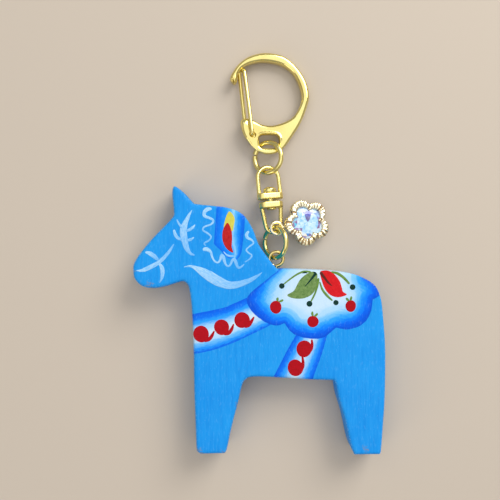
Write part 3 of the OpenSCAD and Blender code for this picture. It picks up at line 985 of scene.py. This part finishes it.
dome = [(1.75 * math.cos(a), 2.95 + 0.85 * math.sin(a)) for a in np.radians(range(0, 86, 8))]
rivet = lathe([(0.75, -2.55), (1.15, -2.5), (1.2, -2.3), (1.15, -2.12), (0.8, -2.08), (0.8, -0.3),
               (0.8, 2.13), (1.6, 2.16), (1.72, 2.26)] + dome)
piece("swivel_rivet_turned", placed(rivet, SWIVEL @ turn("X", -90)), "lower_bail",
      GOLD, ["swivel_rivet"])


# ---- flower charm

PETALS = 5
PETAL_TURN = 2 * math.pi / PETALS


def flower(reach, petal):
    """Round petals meeting in notches, the first towards the loop."""
    out = []
    centre = reach - petal
    half = PETAL_TURN / 2
    spread = math.asin(min(1, centre * math.sin(half) / petal)) + half
    for i in range(PETALS):
        mid = math.pi + i * 2 * half
        for a in np.linspace(-spread, spread, 14)[:-1]:
            out.append((centre * math.cos(mid) + petal * math.cos(mid + a),
                        centre * math.sin(mid) + petal * math.sin(mid + a)))
    return np.array(out)


def petal_angle(x, y, centre):
    """Each place's angle about the middle of its own petal."""
    turned = np.arctan2(y, x) - math.pi
    own = np.round(turned / PETAL_TURN) * PETAL_TURN + math.pi
    return np.arctan2(y - centre * np.sin(own), x - centre * np.cos(own))


random.seed(7)
CUT_DEPTHS = np.array([random.choice((0.12, 0.25, 0.4, 0.9, 1.0)) for k in range(90)])


def cut_marks(x, y):
    """Depth of the bright cut marks that fan out across the rim."""
    step = petal_angle(x, y, 2.6) / math.radians(18)
    which = np.round(step).astype(int)
    petal = np.round(np.arctan2(y, x) / PETAL_TURN).astype(int)
    size = CUT_DEPTHS[(which * 7 + petal * 13) % len(CUT_DEPTHS)]
    return size * np.clip(1.25 - np.abs(step - which) * 2.9, 0, 1)


def rim_top(x, y, d):
    return 2.05 - edge_drop(d, 0.6, 0.4) - 0.42 * cut_marks(x, y) * np.clip(d / 0.25, 0.5, 1)


rim_shape = slab([flower(6.4, 2.9), flower(4.5, 1.75)], rim_top, face(0.78), 0.75, 0.16, 6)
# where the painted shade goes: down in the cut notches of the rim's top
rim_notch_shade = cut_marks(rim_shape[0][:, 0], rim_shape[0][:, 1]) * (rim_shape[0][:, 2] > 1)
piece("charm_rim_cut", placed(rim_shape, FLOWER), "charm", PALE_GOLD, ["charm_rim"],
      values={"cut": rim_notch_shade})


def charm_base():
    """The plate under the stone, the cup round it, and the loop it hangs by."""
    plate = slab([flower(6.3, 2.8)], face(0.38, 0.4, 0.3), face(-0.55, 0.4, -0.3), 0.4, 0.35, 3)
    cup = lathe([(0.5, 0.3), (5, 0.3), (5.02, 0.6), (4.9, 0.75), (4.7, 0.75), (0.5, 0.74)], 64)
    loop = tube(arc(1.65, 0, 357, 64), 0.43, 18, True)
    neck = tube([(1.7, 0, 0), (2.2, 0, 0), (2.9, 0, 0)], [0.45, 0.36, 0.4], 16)
    return joined(placed(plate, move(8.5, 0, 0)), placed(cup, move(8.5, 0, 0)), loop, neck)


piece("charm_base_stamped", placed(charm_base(), CHARM), "charm", PALE_GOLD,
      ["charm_base"])


def stone():
    """A round brilliant: table, star, kite and girdle facets, seen through the rim's window."""
    random.seed(12)
    count = 16
    girdle = 4.72
    crown = [(1.2, 1.74, 0), (2.3, 1.78, 0.5), (3.1, 1.62, 0), (3.9, 1.36, 0.5), (girdle, 1.08, 0)]
    verts = [(0, 0, 1.7)]
    for r, z, shift in crown:
        for a in angles(count) + 2 * math.pi * shift / count:
            lift = 0.05 * (random.random() - 0.5)
            verts.append((r * math.cos(a), r * math.sin(a), z + lift))
    for r, z in ((girdle, 0.78), (3.9, 0.77), (0.9, 0.72)):
        verts += [(x, y, z) for x, y in circle(0, 0, r, count)]
    faces = [(0, 1 + k, 1 + (k + 1) % count) for k in range(count)]
    for i in range(len(crown) - 1):
        a, b = 1 + i * count, 1 + (i + 1) * count
        ahead = crown[i + 1][2] > crown[i][2]
        for k in range(count):
            m = (k + 1) % count
            third, fourth = (a + m, b + k) if ahead else (b + m, a + k)
            faces += [(a + k, b + k, third), (fourth, b + m, a + m)]
    last = 1 + len(crown) * count
    for start in (last - count, last, last + count):
        for k in range(count):
            m = (k + 1) % count
            faces.append((start + k, start + count + k, start + count + m, start + m))
    faces.append(tuple(last + 2 * count + k for k in range(count))[::-1])
    return np.array(verts, float), faces


def facet_reflection_colour(x, y):
    """The painted reflection colour that a facet shows, from where it lies in the stone."""
    a = (math.degrees(math.atan2(y, x)) + 11) % 360
    r = math.hypot(x, y)
    if 66 < a < 114 and r < 3:
        return colour("6C74CC" if r > 1.6 else "6E6C9E")
    if 160 < a < 225 and r > 2.6:
        tones = ("7C5A96", "5CC0E8", "9A7CB4", "B8D8F4", "C8E0F8")
    elif 235 < a < 300 and r > 2.9:
        tones = ("7E6CA4", "86B8EC", "F0EAD8", "4A8FD8", "C8E0F6")
    elif (a < 30 or a > 330) and r > 2.9:
        tones = ("86648F", "A8C8F0", "D0E6FA", "8A86C6")
    elif r < 2.9:
        tones = ("8EC4F2", "B6DAF8", "A0CEF5", "C6E2FA")
    else:
        tones = ("9CC8F2", "7CB4EC", "C0DEF8", "DCEEFC", "8CA6DC", "AED4F6")
    return colour(random.choice(tones))


stone_shape = stone()
stone_piece = piece("cut_stone", placed(stone_shape, FLOWER), "charm", STONE, ["charm_stone"],
                    flat=True)
# each facet's painted reflection colour, kept on its corners for the material
layer = stone_piece.data.color_attributes.new("facet", "FLOAT_COLOR", "CORNER")
random.seed(5)
for poly in stone_piece.data.polygons:
    middle = np.array([stone_shape[0][i] for i in poly.vertices]).mean(axis=0)
    shade = facet_reflection_colour(middle[0], middle[1])
    for corner in poly.loop_indices:
        layer.data[corner].color = shade


# ---- hook and gate

HOOK_EDGE = 0.85
FRONT_FOOT = (-4.6, 4.45, 2)
BACK_FOOT = (-6.2, 6, -2)
OUTER = [(-9.2, 18.1), (-10.1, 18.7), (-10.6, 19.8), (-9.8, 21.6), (-8, 24), (-5, 26), (-0.7, 26.9),
         (4.1, 26), (7.7, 23.1), (10.2, 19.2), (11.1, 15.2), (10.5, 12.2), (9, 8.3), (7.1, 5),
         (4.1, 0.9), (1.2, -0.75), (-2, -0.6), (-4.6, 1.2), (-6.8, 4.2), (-7.7, 7.2), (-7.6, 8.3),
         (-6.9, 8.8)]
INNER = [(-6.9, 8.8), (-5, 8.7), (-2, 7.2), (1.5, 7), (5.9, 8.7), (8.1, 11.4), (9, 15.3),
         (7.2, 20.5), (4, 23.4), (-0.7, 24.5), (-4.6, 24), (-7, 22.8), (-8.3, 21), (-8.6, 19.4),
         (-9.2, 18.1)]
HOOK_LOOP = np.vstack([smooth(OUTER, 7)[:-1], smooth(INNER, 7)[:-1]])
SLOT = smooth_loop([(-2.7, 1.9), (-2.3, 1), (-1.4, 0.7), (1.4, 0.7), (2.3, 1), (2.7, 1.9), (2.7, 3.1),
                    (2.3, 4), (1.4, 4.3), (-1.4, 4.3), (-2.3, 4), (-2.7, 3.1)], 5)


def hook_face(y, d):
    """Height of the plain face above the hook's middle plane: thin at the slot, thick at the bow."""
    half = np.interp(y, (-2, 1.6, 3.4, 9.5, 13.5, 28), (0.65, 0.7, 1.1, 1.1, 1.6, 1.6))
    return half - edge_drop(d, HOOK_EDGE, half * 0.62)


def near(x, y, cx, cy, wide):
    """1 at a place, fading to 0 round it."""
    return np.exp(-((x - cx) ** 2 + (y - cy) ** 2) / wide ** 2)


def hook_top(x, y, d):
    """The polished front: soft edges, a rim round the slot, a boss, the gate's hole, a forked nose."""
    to_slot = nearest(np.column_stack([x, y]), SLOT, True)[0]
    rim = np.interp(y, (1.2, 3), (0.0, 0.28))
    z = hook_face(y, d) + rim * np.exp(-((to_slot - 0.42) / 0.26) ** 2) * np.clip(d / 0.25, 0, 1)
    z = z + 0.5 * near(x, y, -6.6, 6.9, 1.5) * np.clip(d / 0.5, 0, 1)
    hole = np.minimum(np.hypot(x - FRONT_FOOT[0], y - FRONT_FOOT[1]), np.hypot(x + 4.3, y - 4.2))
    z = z - 1.3 * np.clip((0.74 - hole) / 0.1, 0, 1)
    line = np.abs((x + 9.7) * 0.9 + (y - 18.9) * 0.43)
    groove = np.exp(-(line / 0.16) ** 2) * near(x, y, -9.5, 18.5, 0.9)
    return z - 0.8 * groove


def hook_back(x, y, d):
    hole = np.hypot(x - BACK_FOOT[0], y - BACK_FOOT[1])
    return -hook_face(y, d) + 0.9 * np.clip((0.78 - hole) / 0.2, 0, 1)


hook_shape = slab([HOOK_LOOP, SLOT], hook_top, hook_back, HOOK_EDGE, 0.2, 6,
                  ((-4.5, 4.35, 1.1), (-6.2, 6, 1.1), (-9.8, 19.2, 1.2)))
piece("hook_cast", placed(hook_shape, HOOK), "hook", GOLD, ["hook_body"])


def gate_path():
    """From the front foot up the near wire, round the bend under the nose and down the far wire."""
    lean, roll = math.radians(7), math.radians(53)
    side = np.array((math.cos(lean) * math.cos(roll), math.sin(lean) * math.cos(roll), math.sin(roll)))
    up = np.array((-math.sin(lean), math.cos(lean), 0))
    bend = np.array((-7.3, 21.2, 0))
    over = [bend + 1.1 * (side * math.cos(a) + up * math.sin(a)) for a in np.linspace(0, math.pi, 24)]
    front, back = np.array(FRONT_FOOT), np.array(BACK_FOOT)

    def leg(foot, end, away):
        way = (end - foot) / np.linalg.norm(end - foot)
        down = np.array((0, 0, away))
        start = [foot + down * t for t in (1.2, 0.8, 0.45)]
        soft = [foot + down * 0.45 * (1 - t) ** 2 + way * 0.45 * t ** 2 for t in (0.25, 0.5, 0.75, 1)]
        run = [foot + way * 0.45 + (end - foot - way * 0.45) * t for t in np.linspace(0.05, 0.97, 24)]
        return start + soft + run

    return leg(front, over[0], -1) + over + leg(back, over[-1], 1)[::-1]


piece("gate_wire", placed(tube(*capped(gate_path(), 0.55, 0.06), 20), HOOK), "gate",
      GOLD, ["hook_gate"])


# ---- floor, light and camera

bpy.ops.mesh.primitive_plane_add(size=3, location=(0, 0, -0.00008))
floor = bpy.context.object
floor.name = "floor"
paper = Finish("pale_floor")
paper.surface(Base_Color=colour("BDB3A6"), Roughness=0.75)
paper.bump(paper.noise(paper.place(), 900, 3), 0.04, 0.1)
floor.data.materials.append(paper.material)


def lamp(name, at, side, power, tone):
    """A square soft light that faces the object."""
    light = bpy.data.lights.new(name, "AREA")
    light.shape = "RECTANGLE"
    light.size = light.size_y = side
    light.energy = power
    light.color = colour(tone)[:3]
    obj = bpy.data.objects.new(name, light)
    obj.location = at
    obj.rotation_euler = (Vector((0, 0, 0)) - Vector(at)).to_track_quat("-Z", "Y").to_euler()
    bpy.context.scene.collection.objects.link(obj)


lamp("window", (0.34, 0.42, 0.42), 0.4, 3.6, "FFFAF2")
lamp("ceiling", (0.0, 0.05, 0.75), 1.1, 3.5, "FAFAFF")
lamp("low_fill", (-0.4, -0.35, 0.25), 0.3, 0.5, "FFF6EA")
world = bpy.data.worlds.new("studio")
bpy.context.scene.world = world
world.use_nodes = True
sky = world.node_tree.nodes["Background"]
sky.inputs["Color"].default_value = colour("D6D2CC")
sky.inputs["Strength"].default_value = 0.6

camera = bpy.data.cameras.new("camera")
camera.sensor_fit = "HORIZONTAL"
EYE_HEIGHT = 0.2
VIEW_WIDTH = 0.139
camera.angle = 2 * math.atan(VIEW_WIDTH / 2 / EYE_HEIGHT)
camera.clip_start = 0.005
eye = bpy.data.objects.new("camera", camera)
eye.location = (-0.0025, -0.0002, EYE_HEIGHT)
bpy.context.scene.collection.objects.link(eye)
bpy.context.scene.camera = eye

bpy.context.scene.view_settings.view_transform = "Standard"
